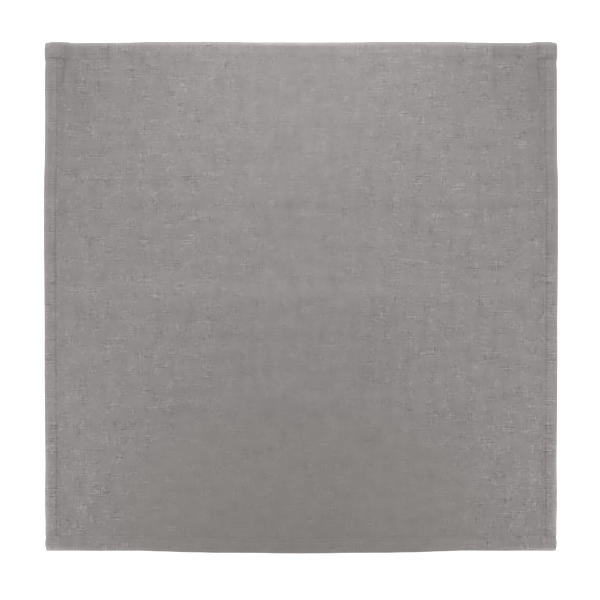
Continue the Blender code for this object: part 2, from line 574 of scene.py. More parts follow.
def painted_fold_shade(x, y, by_sides=True):
    """How much painted shade the cloth gets beside the inner folds: most at the fold, and fading
    out over a few millimetres. With the side hems, a wider, fainter painted shade runs along them too."""
    side, top, bottom = hem_reach(x, y)
    folds = [(TOP_HEM, np.abs(x), top), (BOTTOM_HEM, np.abs(x), bottom)]
    painted_shade = np.zeros_like(x)
    if by_sides:
        folds.append((SIDE_HEM, y, side))
        # A wider, fainter painted shade along the side hems
        painted_shade = SIDE_SHADE * np.exp(-((np.maximum(side, 0) / SIDE_SHADE_REACH) ** 2))
    for table, at, distance in folds:
        near = np.exp(-((np.maximum(distance, 0) / FOLD_SHADE_REACH) ** 2))
        painted_shade = np.maximum(painted_shade, eased(table, at, 5) / MM * near)
    return painted_shade


def painted_fold_bands(x, y):
    """How much painted highlight, or painted shade under 0, each point gets from the old folds: a soft
    band straight across for each one.
    """
    total = np.zeros_like(x)
    for place, reach, pale, side_fade in PAINTED_FOLD_BANDS:
        band = np.exp(-(((y / MM - place) / reach) ** 2))
        total += pale * band * (1 - side_fade * np.abs(x) / HALF_WIDTH)
    return total


def cells(grid):
    """The four corner numbers of each cell of a grid of points, in turning order."""
    corners = [grid[..., :-1, :-1], grid[..., :-1, 1:], grid[..., 1:, 1:], grid[..., 1:, :-1]]
    return np.stack(corners, axis=-1).reshape(-1, 4)


def cell_map(values):
    """A map's values at the four corners of each cell, in the order that cells() gives."""
    corners = [
        values[..., :-1, :-1, :],
        values[..., :-1, 1:, :],
        values[..., 1:, 1:, :],
        values[..., 1:, :-1, :],
    ]
    return np.stack(corners, axis=-2).reshape(-1, 4, 2)


def fitted(low, high, rows, columns):
    """An even map of a grid onto the box from low to high."""
    across, along = np.meshgrid(
        np.linspace(low[0], high[0], columns), np.linspace(low[1], high[1], rows)
    )
    return np.stack([across, along], axis=-1)


def outward(points, faces, maps):
    """Turns every face round if the closed shape's signed volume is under 0."""
    first, second, third, fourth = (points[faces[:, corner]] for corner in range(4))
    volume = np.einsum("ij,ij->i", first, np.cross(second, third)).sum()
    volume += np.einsum("ij,ij->i", first, np.cross(third, fourth)).sum()
    if volume > 0:
        return faces, maps
    return faces[:, ::-1], {name: values[:, ::-1] for name, values in maps.items()}


def make_piece(name, points, faces, maps, material):
    """A smooth mesh piece on the napkin's body, from whole arrays of points, faces and maps. Its
    marks, if it has some, hold one value for each point."""
    marks = maps.pop("marks", {})
    faces, maps = outward(points, faces, maps)
    mesh = bpy.data.meshes.new(name)
    mesh.vertices.add(len(points))
    mesh.vertices.foreach_set("co", np.ascontiguousarray(points, np.float32).ravel())
    mesh.loops.add(faces.size)
    mesh.loops.foreach_set("vertex_index", np.ascontiguousarray(faces, np.int32).ravel())
    mesh.polygons.add(len(faces))
    mesh.polygons.foreach_set("loop_start", np.arange(0, faces.size, 4, dtype=np.int32))
    for map_name, values in maps.items():
        layer = mesh.uv_layers.new(name=map_name)
        layer.uv.foreach_set("vector", np.ascontiguousarray(values, np.float32).ravel())
    for mark_name, values in marks.items():
        mark = mesh.attributes.new(mark_name, "FLOAT", "POINT")
        mark.data.foreach_set("value", values.ravel().astype(np.float32))
    mesh.update()
    mesh.validate()
    mesh.shade_smooth()
    mesh.materials.append(material)
    piece = bpy.data.objects.new(name, mesh)
    bpy.context.scene.collection.objects.link(piece)
    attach(piece, BODY)
    return piece


class Shader:
    """Adds nodes to a material and links them, so that a formula reads as one line."""

    def __init__(self, name):
        self.material = bpy.data.materials.new(name)
        self.material.use_nodes = True
        self.tree = self.material.node_tree
        self.surface = self.tree.nodes["Principled BSDF"]

    def node(self, kind, inputs=(), **settings):
        made = self.tree.nodes.new(kind)
        for setting, value in settings.items():
            setattr(made, setting, value)
        for socket, value in dict(inputs).items():
            self.feed(made.inputs[socket], value)
        return made

    def feed(self, socket, value):
        if isinstance(value, bpy.types.NodeSocket):
            self.tree.links.new(value, socket)
        else:
            socket.default_value = value

    def math(self, operation, first, second=0.0, third=0.0):
        made = self.node("ShaderNodeMath", {0: first, 1: second, 2: third}, operation=operation)
        return made.outputs[0]

    def mix(self, share, low, high):
        """low where share is 0 and high where it is 1."""
        made = self.node("ShaderNodeMix", {0: share, 2: low, 3: high}, data_type="FLOAT")
        return made.outputs[0]

    def mix_colour(self, share, low, high):
        made = self.node("ShaderNodeMix", {0: share, 6: low, 7: high}, data_type="RGBA")
        return made.outputs[2]

    def scaled_colour(self, colour, factor):
        grey = self.node("ShaderNodeCombineColor", {0: factor, 1: factor, 2: factor})
        made = self.node(
            "ShaderNodeMix",
            {0: 1.0, 6: colour, 7: grey.outputs[0]},
            data_type="RGBA",
            blend_type="MULTIPLY",
        )
        return made.outputs[2]

    def total(self, start, *parts):
        """start, plus each part's share times how far its value lies over its level."""
        for value, level, share in parts:
            if level:
                value = self.math("SUBTRACT", value, level)
            start = self.math("MULTIPLY_ADD", value, share, start)
        return start

    def wave(self, value, turn):
        """The sine of a value times the turn that it makes in each unit."""
        return self.math("SINE", self.math("MULTIPLY", value, turn))

    def mark(self, name):
        """The mesh's own attribute of that name."""
        return self.node("ShaderNodeAttribute", attribute_name=name).outputs["Fac"]

    def place(self, x, y):
        return self.node("ShaderNodeCombineXYZ", {0: x, 1: y}).outputs[0]

    def stretched(self, x, by_x, y, by_y):
        """The place whose two coordinates are stretched by their own amounts."""
        return self.place(self.math("MULTIPLY", x, by_x), self.math("MULTIPLY", y, by_y))

    def noise(self, place, scale, detail=1.0, roughness=0.5):
        made = self.node(
            "ShaderNodeTexNoise",
            {"Vector": place, "Scale": scale, "Detail": detail, "Roughness": roughness},
            noise_dimensions="2D",
        )
        return made.outputs[0]

    def spread(self, value, low, high):
        """0 below low, 1 above high, and a soft S between."""
        made = self.node(
            "ShaderNodeMapRange",
            {"Value": value, "From Min": low, "From Max": high},
            interpolation_type="SMOOTHSTEP",
        )
        return made.outputs[0]

    def set(self, **values):
        for socket, value in values.items():
            self.feed(self.surface.inputs[socket.replace("_", " ")], value)


class LinenShader(Shader):
    """Plain-woven linen, in steps that each keep what the later ones use. The x or y at the end of
    a name says which way its yarns or stripes run. Noise is counted in waves to the metre."""

    def lay_yarns(self, pitch):
        """Each yarn's number is its place over the pitch, bent a little by slow noise. Yarns are
        round, as a sine. Where the two numbers add to an even one the yarn along X is on top, and
        elsewhere the yarn along Y."""
        self.weave = self.node("ShaderNodeUVMap", uv_map="weave").outputs[0]
        parts = self.node("ShaderNodeSeparateXYZ", {0: self.weave}).outputs
        self.x, self.y = parts[0], parts[1]
        turned = self.place(self.y, self.x)
        bend_y = self.math("MULTIPLY_ADD", self.noise(self.weave, 60.0, 2.0), 2.0, -1.0)
        bend_x = self.math("MULTIPLY_ADD", self.noise(turned, 50.0, 2.0), 1.6, -0.8)
        self.along_y = self.math("MULTIPLY_ADD", self.x, 1 / pitch, bend_y)
        self.along_x = self.math("MULTIPLY_ADD", self.y, 1 / pitch, bend_x)
        number_y = self.math("FLOOR", self.along_y)
        number_x = self.math("FLOOR", self.along_x)
        self.round_y = self.math("ABSOLUTE", self.wave(self.along_y, np.pi))
        self.round_x = self.math("ABSOLUTE", self.wave(self.along_x, np.pi))
        self.over = self.math("FLOORED_MODULO", self.math("ADD", number_x, number_y), 2.0)

    def spin_runs(self):
        """Neighbours in a pair are spun alike, so each pair has its own run of thick, thin, pale
        and dark stretches: noise drawn out along the yarns, which jumps from pair to pair. A slub
        is where it is highest."""
        pair_y = self.math("FLOOR", self.math("MULTIPLY", self.along_y, 0.5))
        pair_x = self.math("FLOOR", self.math("MULTIPLY", self.along_x, 0.5))
        self.run_y = self.noise(self.stretched(pair_y, 7.31, self.y, 110.0), 1.0, 1.5)
        self.run_x = self.noise(self.stretched(self.x, 80.0, pair_x, 9.17), 1.0, 1.5)
        slub_y = self.spread(self.run_y, 0.6, 0.75)
        slub_x = self.spread(self.run_x, 0.6, 0.75)
        self.run = self.mix(self.over, self.run_x, self.run_y)
        self.slub = self.math("MAXIMUM", slub_x, slub_y)

    def find_stripes(self):
        """Patches of noise, and the gathered stretches of the hems, where the pairs show as
        stripes. The ribs are waves as long as a pair of yarns and its neighbour, in these patches."""
        wide_x = self.noise(self.stretched(self.x, 0.6, self.y, 1.0), 95.0)
        wide_y = self.noise(self.stretched(self.y, 0.8, self.x, 1.0), 105.0)
        gather = self.mark("gather")
        against = self.math("MULTIPLY", gather, -1.0)
        self.patch_x = self.math("MAXIMUM", self.spread(wide_x, 0.5, 0.64), gather)
        self.patch_y = self.math("MAXIMUM", self.spread(wide_y, 0.53, 0.67), against)
        ribs = self.math("MULTIPLY", self.wave(self.along_y, np.pi / 2), self.patch_y)
        self.ribs = self.total(ribs, (self.wave(self.along_x, np.pi / 2), 0.0, self.patch_x))

    def find_calm(self):
        """How clearly the weave stands out: in patches of noise, less near the middle, and least
        where the middle is smooth, in a wide part towards the end at -Y. The sides of that end are
        bolder. The places are in metres from the cloth's middle."""
        on_cloth = self.node("ShaderNodeTexCoord").outputs["Object"]
        at = self.node("ShaderNodeSeparateXYZ", {0: on_cloth}).outputs
        outwards = self.math("ABSOLUTE", at[0])
        low = self.spread(at[1], -0.05, -0.2)
        calm_width = self.math("MULTIPLY_ADD", low, 0.11, 0.06)
        calm = self.spread(self.math("SUBTRACT", outwards, calm_width), 0.035, -0.04)
        self.smooth = self.math("MULTIPLY", calm, low)
        self.patchy = self.spread(self.noise(self.weave, 80.0, 1.5), 0.33, 0.68)
        contrast = self.math("MULTIPLY_ADD", self.patchy, 1.18, 0.17)
        calming = self.math("MULTIPLY", calm, self.math("MULTIPLY_ADD", low, 0.34, 0.48))
        contrast = self.math("MULTIPLY", contrast, self.math("SUBTRACT", 1.0, calming))
        bold = self.math("MULTIPLY", self.spread(outwards, 0.13, 0.2), low)
        self.contrast = self.math("MULTIPLY", contrast, self.math("MULTIPLY_ADD", bold, 0.3, 1.0))

    def height(self):
        """The yarn on top is round across and arched along. Slubs, ribs and thick stretches add to
        it, and the smooth part is flatter."""
        arch_x = self.math("MULTIPLY", self.round_x, self.total(0.5, (self.round_y, 0.0, 0.5)))
        arch_y = self.math("MULTIPLY", self.round_y, self.total(0.5, (self.round_x, 0.0, 0.5)))
        self.arch = self.mix(self.over, arch_x, arch_y)
        added = ((self.slub, 0.0, 0.8), (self.ribs, 0.0, 0.5), (self.run, 0.0, 0.9))
        height = self.total(self.arch, *added)
        return self.math("MULTIPLY", height, self.math("MULTIPLY_ADD", self.smooth, -0.4, 1.0))

    def tone(self):
        """1 for the plain colour, plus the weave's own tone times how clearly it stands out, plus
        stray slubs where it is smooth, slow clouds, faint wide stripes and the mesh's painted shade and
        highlight. Each row below holds a value, the level that it is counted from, and its share of the
        tone."""
        fine = self.noise(self.weave, 620.0)
        blot = self.noise(self.weave, 190.0)
        tone = self.total(
            0.0,
            (self.spread(self.run_x, 0.3, 0.7), 0.5, self.total(0.058, (self.patch_x, 0.0, 0.135))),
            (self.spread(self.run_y, 0.3, 0.7), 0.5, self.total(0.034, (self.patch_y, 0.0, 0.118))),
            (self.ribs, 0.0, 0.066),
            (self.slub, 0.0, 0.03),
            (self.spread(blot, 0.56, 0.74), 0.0, 0.08),
            (self.spread(fine, 0.62, 0.78), 0.0, 0.1),
            (self.spread(fine, 0.38, 0.24), 0.0, -0.06),
            (self.noise(self.weave, 380.0, 1.5), 0.5, 0.34),
            # Yarn crowns painted lighter and the gaps between yarns darker, as painted shade
            (self.arch, 0.6, 0.12),
        )
        thin = self.spread(self.math("MINIMUM", self.run_x, self.run_y), 0.4, 0.28)
        stray = self.math("SUBTRACT", self.slub, thin)
        stray = self.math("MULTIPLY", stray, self.spread(self.patchy, 0.45, 0.95))
        wide_x = self.noise(self.stretched(self.x, 22.0, self.y, 90.0), 1.0)
        wide_y = self.noise(self.stretched(self.x, 110.0, self.y, 30.0), 1.0)
        wide = self.total(0.0, (wide_x, 0.5, 0.14), (wide_y, 0.5, 0.16))
        self.cloud = self.noise(self.weave, 75.0, 3.0)
        return self.total(
            self.math("MULTIPLY_ADD", tone, self.contrast, 1.0),
            (stray, 0.0, self.math("MULTIPLY", self.smooth, 0.08)),
            (self.cloud, 0.5, 0.2),
            (wide, 0.0, self.math("MULTIPLY_ADD", self.smooth, -0.7, 1.0)),
            (self.noise(self.weave, 16.0, 2.0), 0.5, 0.06),
            # The mesh's painted shade and painted highlight
            (self.mark("wear"), 0.0, 0.25),
        )


def linen_material(sizes, colours):
    """Plain-woven linen. The plain colour, a little warmer in patches and where the weave is
    smooth, is scaled by the tone, and the yarns' height is a bump."""
    linen = LinenShader("woven_linen")
    linen.lay_yarns(sizes.yarn_pitch)
    linen.spin_runs()
    linen.find_stripes()
    linen.find_calm()
    height = linen.height()
    tone = linen.tone()
    warmth = linen.math("MULTIPLY", linen.spread(linen.noise(linen.weave, 34.0), 0.4, 0.75), 0.25)
    warmth = linen.math("MAXIMUM", warmth, linen.smooth)
    base = linen.mix_colour(warmth, (*colours.linen, 1.0), (*colours.linen_warm, 1.0))
    rough = linen.total(0.82, (linen.cloud, 0.0, 0.12), (linen.slub, 0.0, -0.1))
    bump = linen.node(
        "ShaderNodeBump", {"Height": height, "Distance": 0.1 * MM, "Strength": 0.6}
    )
    linen.set(
        Base_Color=linen.scaled_colour(base, tone),
        Roughness=rough,
        Normal=bump.outputs[0],
        Sheen_Weight=0.1,
        Sheen_Roughness=0.5,
        Specular_IOR_Level=0.3,
    )
    return linen.material


def thread_material(colours):
    """Two-ply sewing thread: slanting ridges worked out from the places along and around it."""
    thread = Shader("sewing_thread")
    ply = thread.node("ShaderNodeUVMap", uv_map="thread").outputs[0]
    parts = thread.node("ShaderNodeSeparateXYZ", {0: ply}).outputs
    slant = thread.math("ADD", thread.math("MULTIPLY", parts[0], THREAD_TWISTS), parts[1])
    ridge = thread.wave(slant, 2 * np.pi)
    fuzz = thread.noise(ply, 900.0, 2.0)
    height = thread.math("MULTIPLY_ADD", ridge, 0.5, fuzz)
    # The ridges are painted a little lighter than the grooves between them, as painted shade
    tone = thread.total(0.85, (fuzz, 0.0, 0.3), (ridge, 0.0, 0.1))
    bump = thread.node(
        "ShaderNodeBump", {"Height": height, "Distance": 0.05 * MM, "Strength": 0.7}
    )
    thread.set(
        Base_Color=thread.scaled_colour((*colours.thread, 1.0), tone),
        Roughness=thread.math("MULTIPLY_ADD", fuzz, 0.2, 0.55),
        Normal=bump.outputs[0],
        Sheen_Weight=0.1,
    )
    return thread.material


def shared_material(name, make, *inputs):
    """The material of that name, made the first time that it is asked for."""
    return bpy.data.materials.get(name) or make(*inputs)


class NAPKIN_OT_cloth(bpy.types.Operator):
    """Lays out the flat cloth that the hems are turned from"""

    bl_idname = "napkin.cloth"
    bl_label = "Cloth"

    def execute(self, context):
        sizes = context.scene.napkin_sizes
        colours = context.scene.napkin_colours
        material = shared_material("woven_linen", linen_material, sizes, colours)
        cloth = make_piece("linen_cloth", *cloth_sheet(sizes), material)
        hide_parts(CLOTH_NODE)
        return {"FINISHED"}


def field_lines(half_size, count):
    """Line places from one edge to the other: a few over each hem, even ones between."""
    low = -half_size + np.array(HEM_LINES) * MM
    field = np.linspace(low[-1], -low[-1], count + 2)[1:-1]
    return np.concatenate([low, field, -low[::-1]])


def cloth_sheet(sizes):
    """One thin layer on a grid. Its top is its underside plus the thickness, and its underside
    is the lift. Both grids are joined by a band of narrow side faces."""
    lines_x = field_lines(HALF_WIDTH - sizes.edge_tuck, sizes.field_lines)
    lines_y = field_lines(HALF_LENGTH - sizes.edge_tuck, sizes.field_lines)
    nominal_x, nominal_y = np.meshgrid(lines_x, lines_y)
    x, y = cloth_plan(nominal_x, nominal_y)
    under = cloth_lift(x, y, sizes)
    top = under + sizes.cloth_thickness
    rows, columns = x.shape
    points = np.concatenate(
        [np.stack([x, y, top], axis=-1), np.stack([x, y, under], axis=-1)]
    ).reshape(-1, 3)
    upper = np.arange(rows * columns).reshape(rows, columns)
    lower = upper + rows * columns
    weave = np.stack([nominal_x, nominal_y], axis=-1) + WEAVE_START
    top_bake = fitted((BAKE_START, BAKE_START), (BAKE_END, BAKE_END), rows, columns)
    under_bake = fitted((STRIP_START, BAKE_START), (STRIP_END, BAKE_END), rows, columns)
    patches = [(upper, weave, top_bake), (lower[:, ::-1], weave[:, ::-1], under_bake)]

    # Each rim's line of the grid, the way its faces turn, and whether it is a row
    rims = [(0, 1, True), (-1, -1, True), (0, -1, False), (-1, 1, False)]
    for number, (line, turn, is_row) in enumerate(rims):
        rim = (line, slice(None)) if is_row else (slice(None), line)
        bar = STRIP_START + BAR_STEP * number
        grid = np.stack([lower[rim], upper[rim]])[:, ::turn]
        across = np.stack([weave[rim], weave[rim]])[:, ::turn]
        bake = fitted((BAKE_START, bar), (BAKE_END, bar + BAR_HEIGHT), 2, grid.shape[1])
        patches.append((grid, across, bake))
    # Painted shade beside the folds and in the puckers, and the painted bands of the old folds
    shade = painted_fold_bands(x, y) - painted_fold_shade(x, y) - puckered(x, y)
    faces, maps = patched(patches)
    maps["marks"] = {"wear": np.stack([shade, np.zeros_like(shade)])}
    return points, faces, maps


def patched(patches):
    """The faces and maps of several grids in a row, each given as its point numbers, its places on
    the weave and its places on the baking map."""
    faces = np.concatenate([cells(grid) for grid, _, _ in patches])
    maps = {
        "OFBake": np.concatenate([cell_map(bake) for _, _, bake in patches]),
        "weave": np.concatenate([cell_map(weave) for _, weave, _ in patches]),
    }
    return faces, maps


class NAPKIN_OT_hems(bpy.types.Operator):
    """Turns in the four hems, with the two end hems over the two side hems"""

    bl_idname = "napkin.hems"
    bl_label = "Hems"

    def execute(self, context):
        sizes = context.scene.napkin_sizes
        colours = context.scene.napkin_colours
        material = shared_material("woven_linen", linen_material, sizes, colours)
        for name, edges in (("side_hems", SIDE_EDGES), ("end_hems", END_EDGES)):
            make_piece(name, *joined([hem_band(edge, sizes) for edge in edges]), material)
        return {"FINISHED"}


def joined(shapes):
    """Several shapes as one: their points, faces, maps and marks in a row."""
    points, faces, maps, marks = [], [], [], []
    count = 0
    for shape_points, shape_faces, shape_maps in shapes:
        points.append(shape_points)
        faces.append(shape_faces + count)
        marks.append(shape_maps.pop("marks"))
        maps.append(shape_maps)
        count += len(shape_points)
    together, marked = (
        {name: np.concatenate([each[name] for each in part]) for name in part[0]}
        for part in (maps, marks)
    )
    return np.concatenate(points), np.concatenate(faces), {**together, "marks": marked}


def along_hem(edge, place):
    """The places at which a hem's table is read: an end hem is the same to the left and right."""
    return np.abs(place) if edge in END_EDGES else place


def hem_place(edge, place, inward):
    """The X and Y of points on a hem, from their places along its edge and in from it."""
    if edge == "top":
        return place, top_reach(place) - inward
    if edge == "bottom":
        return place, -bottom_reach(place) + inward
    out = side_reach(place) - COVER_TUCK * covered(place) - inward
    return (out if edge == "right" else -out), place


def covered(y):
    """How far a point of a side hem lies under an end hem: 1 under it, 0 in the open."""
    top, bottom = (HALF_LENGTH - eased(table, HALF_WIDTH, 2) for table in (TOP_HEM, BOTTOM_HEM))
    return np.maximum(
        soft_step((y - top) / COVER_REACH + 1), soft_step((-y - bottom) / COVER_REACH + 1)
    )


def corner_lift(edge, x, y):
    """How far an end hem climbs over the side hem under it: a soft S across that hem's fold."""
    if edge in SIDE_EDGES:
        return np.zeros_like(x)
    from_side = side_reach(y) - np.abs(x)
    over = eased(SIDE_HEM, y, 2) + CLIMB_START - from_side
    return CLIMB_HEIGHT * soft_step(over / CLIMB_REACH)


def hem_columns(edge, place):
    """The hem's section at each place: distances in from the edge, heights and gathers."""
    at = along_hem(edge, place)
    stitches, fold, rise = (eased(HEM_TABLES[edge], at, column) for column in (1, 2, 3))
    starts = {"rim": np.zeros_like(place), "stitches": stitches, "fold": fold}
    inward = np.stack([starts[row[0]] + row[1] * MM for row in HEM_SECTION], axis=1)
    face = 3 if edge in END_EDGES else 2
    top, under, share, gather = (
        np.array([row[part] for row in HEM_SECTION]) for part in (face, 4, 5, 6)
    )
    return inward, top * MM + rise[:, None] * share, under * MM, gather


def hem_painted_light(edge, inward, place, x, y):
    """How pale or dark each point is painted: painted highlight most at the rim, paleness up to the
    stitches, and painted highlight at the two ends of an end hem. It is under 0 where painted shade
    darkens the row of stitches, the inner fold and the puckers, and where an end hem's fold shades a
    side hem."""
    at = along_hem(edge, place)
    row, fold, sewn, crease, pale, band = (
        eased(HEM_TABLES[edge], at, column)[:, None] for column in (1, 2, 4, 5, 6, 7)
    )
    # Painted highlight along the rim, and paleness up to the stitches
    rim = pale / MM * (1 - np.clip(inward / RIM_REACH, 0, 1)) ** RIM_FADE
    rim = rim + band / MM * soft_step((row - inward) / BAND_SOFTNESS + 0.5)
    # Painted shade along the row of stitches and along the inner fold
    painted_shade = sewn / MM * np.exp(-(((inward - row) / ROW_REACH) ** 2))
    painted_shade = painted_shade + crease / MM * np.exp(-(((inward - fold) / CREASE_REACH) ** 2))
    if edge in SIDE_EDGES:
        painted_shade = painted_shade + painted_fold_shade(x, y, by_sides=False)
    else:
        from_side = side_reach(y) - np.abs(x)
        # Painted highlight at the two ends of an end hem
        ends = END_PALE * (1 - np.clip(from_side / END_REACH, 0, 1)) ** RIM_FADE
        rim = np.maximum(rim, ends)
    return rim - painted_shade - puckered(x, y)


def hem_gather(edge, place, gather):
    """How clearly the sewn cloth's fine ribs show: in short stretches along the hem, more towards
    its stitches. Over 0 for the ribs across a side hem, and under 0 for those across an end hem."""
    noise = soft_noise(place, GATHER_STEP, GATHER_SEED + EDGES.index(edge))
    stretch = np.clip(GATHER_LEVEL + GATHER_SHARPNESS * noise, 0, 1)
    return GATHER_STRENGTH[edge] * gather * stretch


def hem_ripple(edge, place, gather, sizes):
    """The height of the sewn cloth's small ripples: random ones of two lengths, less the pull of
    each stitch's needle holes, which is a cosine along the row."""
    random = np.zeros_like(place)
    for number, (step, share) in enumerate(HEM_RIPPLES):
        seed = HEM_RIPPLE_SEED + EDGES.index(edge) + 10 * number
        random += share * soft_noise(place, step, seed)
    pull = np.cos(2 * np.pi * place / sizes.stitch_pitch)
    return sizes.gather_height * gather * (random - STITCH_PULL * pull * gather)


def ring_places(half, sizes):
    """Where a hem's rings lie along it: one every quarter stitch, and closer ones by its ends."""
    closing = np.array(CLOSING_RINGS) * MM
    reach = half - FIRST_EVEN_RING
    even = np.linspace(-reach, reach, int(2 * reach / (sizes.stitch_pitch / 4)))
    return np.concatenate([-half + closing, even, half - closing[::-1]])


def end_rounded(top, under, from_end):
    """Both faces, drawn in towards the height between them by a quarter circle near each end."""
    inside = 1 - np.clip(from_end / END_ROUNDING, 0, 1)
    fullness = END_FULLNESS + (1 - END_FULLNESS) * np.sqrt(1 - inside**2)
    middle = (top + under) / 2
    half_height = (top - under) / 2 * fullness[:, None]
    return middle + half_height, middle - half_height


def hem_band(edge, sizes):
    """One turned hem: its section carried along its edge as a row of closed rings. The heights are
    the section's, plus ripples, plus the climb over the side hems at the corners. Each line ends
    on the outline of the neighbouring edge."""
    is_end = edge in END_EDGES
    half = HALF_WIDTH if is_end else HALF_LENGTH - SIDE_HEM_SHORT
    nominal = ring_places(half, sizes)
    inward, top, under, gather = hem_columns(edge, nominal)
    if is_end:
        corner = HALF_LENGTH - CORNER_IN - inward
        ends = side_reach(corner if edge == "top" else -corner)
    else:
        corner = HALF_WIDTH - CORNER_IN - inward
        ends = np.where(nominal[:, None] > 0, top_reach(corner), bottom_reach(corner))
        ends = ends - SIDE_HEM_SHORT
    place = nominal[:, None] * ends / half
    x, y = hem_place(edge, place, inward)
    lift = corner_lift(edge, x, y)
    top = top + hem_ripple(edge, place, gather, sizes) + lift - PUCKER_DEPTH * puckered(x, y)
    under = under + lift * soft_step(under / (0.5 * MM))
    top, under = end_rounded(top, under, half - np.abs(nominal))

    rings, count = x.shape
    ring_x = np.concatenate([x, x[:, ::-1]], axis=1)
    ring_y = np.concatenate([y, y[:, ::-1]], axis=1)
    ring_z = np.concatenate([top, under[:, ::-1]], axis=1)
    points = np.stack([ring_x, ring_y, ring_z], axis=-1).reshape(-1, 3)
    numbers = np.arange(rings * 2 * count).reshape(rings, 2 * count)

    # Weave: yarns run along and across the hem, away from the field's own runs
    below = inward[:, ::-1] + UNDER_WEAVE_STEP
    girth = np.concatenate([inward, below, inward[:, :1]], axis=1) + HEM_WEAVE_START
    length = np.concatenate([place, place[:, ::-1], place[:, :1]], axis=1) + WEAVE_START
    weave = np.stack([length, girth] if is_end else [girth, length], axis=-1)
    faces, maps = patched(hem_patches(edge, numbers, weave))
    faces, maps = outward(points, faces, maps)
    around = np.concatenate([inward, inward[:, ::-1]], axis=1)
    ribs = hem_gather(edge, place, gather)
    # The hem's painted highlight and painted shade, and where its ribs show
    maps["marks"] = {
        "wear": hem_painted_light(edge, around, nominal, ring_x, ring_y).ravel(),
        "gather": np.concatenate([ribs, ribs[:, ::-1]], axis=1).ravel(),
    }
    return points, faces, maps


def hem_patches(edge, numbers, weave):
    """A hem's grids: the rings joined in a closed band, and at each end a row of faces between the
    top and the underside. Each piece has two hems, and each of them half of its baking map: its top
    is the broad strip, its underside the narrow one, and its ends two short bars."""
    rings = len(numbers)
    count = numbers.shape[1] // 2
    closed = np.concatenate([numbers, numbers[:, :1]], axis=1)
    base = 0.5 * (EDGES.index(edge) % 2)
    heights = np.concatenate([np.linspace(0.01, 0.36, count), np.linspace(0.37, 0.44, count + 1)])
    spread = np.linspace(0.01, 0.99, rings)
    bake = np.stack(np.broadcast_arrays(spread[:, None], base + heights[None, :]), axis=-1)
    patches = [(closed, weave, bake)]
    for number, ring in enumerate((0, rings - 1)):
        cap = np.stack([numbers[ring, :count], numbers[ring, : count - 1 : -1]])
        if ring == 0:
            cap = cap[::-1]
        low = (0.02 + 0.5 * number, base + 0.455)
        cap_bake = fitted(low, (low[0] + 0.4, low[1] + 0.03), 2, count)
        cap_weave = np.stack([weave[ring, :count], weave[ring, :count] + 2 * MM])
        patches.append((cap, cap_weave, cap_bake))
    return patches


class NAPKIN_OT_stitches(bpy.types.Operator):
    """Sews each hem down with a row of small stitches"""

    bl_idname = "napkin.stitches"
    bl_label = "Stitches"

    def execute(self, context):
        sizes = context.scene.napkin_sizes
        material = shared_material("sewing_thread", thread_material, context.scene.napkin_colours)
        rows = [stitch_row(edge, sizes) for edge in EDGES]
        paths, sideways = (np.concatenate(part) for part in zip(*rows))
        make_piece("hem_stitches", *tubes(paths, sideways, sizes), material)
        return {"FINISHED"}


def stitch_row(edge, sizes):
    """The middle lines of one hem's stitches, a low arch each, and each one's sideways direction."""
    is_end = edge in END_EDGES
    reach = (HALF_WIDTH if is_end else HALF_LENGTH - SIDE_ROW_SHORT) - ROW_SHORT
    number = int(reach / sizes.stitch_pitch)
    centres = np.arange(-number, number + 1) * sizes.stitch_pitch
    rng = np.random.default_rng(STITCH_SEED + EDGES.index(edge))
    stray = rng.normal(0, STITCH_STRAY, (2, len(centres)))
    share = np.linspace(-1, 1, THREAD_RINGS)
    place = (centres + sizes.stitch_pitch / 2)[:, None] + share * sizes.stitch_length / 2
    inward = eased(HEM_TABLES[edge], along_hem(edge, place), 1)
    inward = inward + stray[0][:, None] + stray[1][:, None] * share
    x, y = hem_place(edge, place, inward)
    trough = next(row for row in HEM_SECTION if row[:2] == ("stitches", 0.0))[3 if is_end else 2]
    z = trough * MM + STITCH_STAND - STITCH_DIP * share**4 + corner_lift(edge, x, y)
    paths = np.stack([x, y, z], axis=-1)
    sideways = np.array([0.0, 1.0, 0.0] if is_end else [1.0, 0.0, 0.0])
    return paths, np.broadcast_to(sideways, (len(centres), 3))


